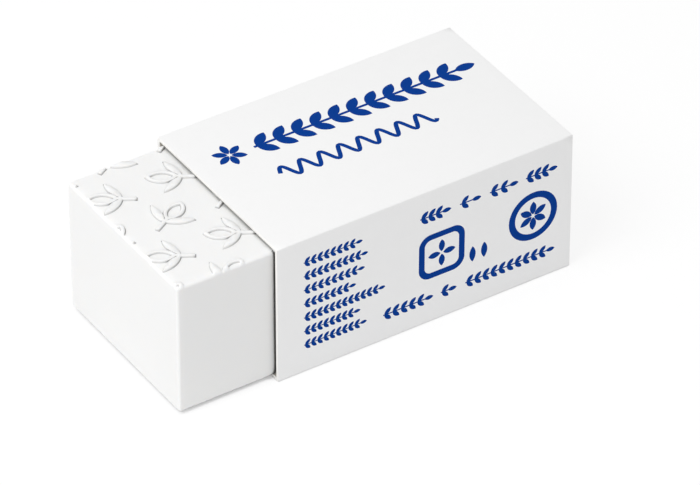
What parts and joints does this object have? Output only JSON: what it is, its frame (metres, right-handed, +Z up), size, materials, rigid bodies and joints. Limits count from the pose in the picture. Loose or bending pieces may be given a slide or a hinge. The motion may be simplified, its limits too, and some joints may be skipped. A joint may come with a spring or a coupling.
{
  "type": "plastic eraser",
  "caption": "Small white vinyl block eraser with a moulded relief of leafy sprigs, sliding in a white folded card sleeve with a plain blue leaf print.",
  "frame": {"origin": "centre of the bounding box in plan, at the height of the sleeve's underside, which lies on the desk", "axes": "+X along the block from the bare tip to the covered end, +Y towards the sleeve's glued seam, +Z up through the relief face"},
  "size_m": [0.036, 0.0174, 0.0129],
  "materials": {
    "vinyl": "soft matte white eraser vinyl",
    "card": "smooth coated white card with blue print"
  },
  "bodies": {
    "sleeve": {"card_sleeve": "card"},
    "eraser": {"eraser_block": "vinyl"}
  },
  "joints": [
    {"name": "eraser_slide", "type": "slide", "parent": "sleeve", "child": "eraser", "axis": [-1, 0, 0], "range_m": [-0.0086, 0.028]}
  ]
}
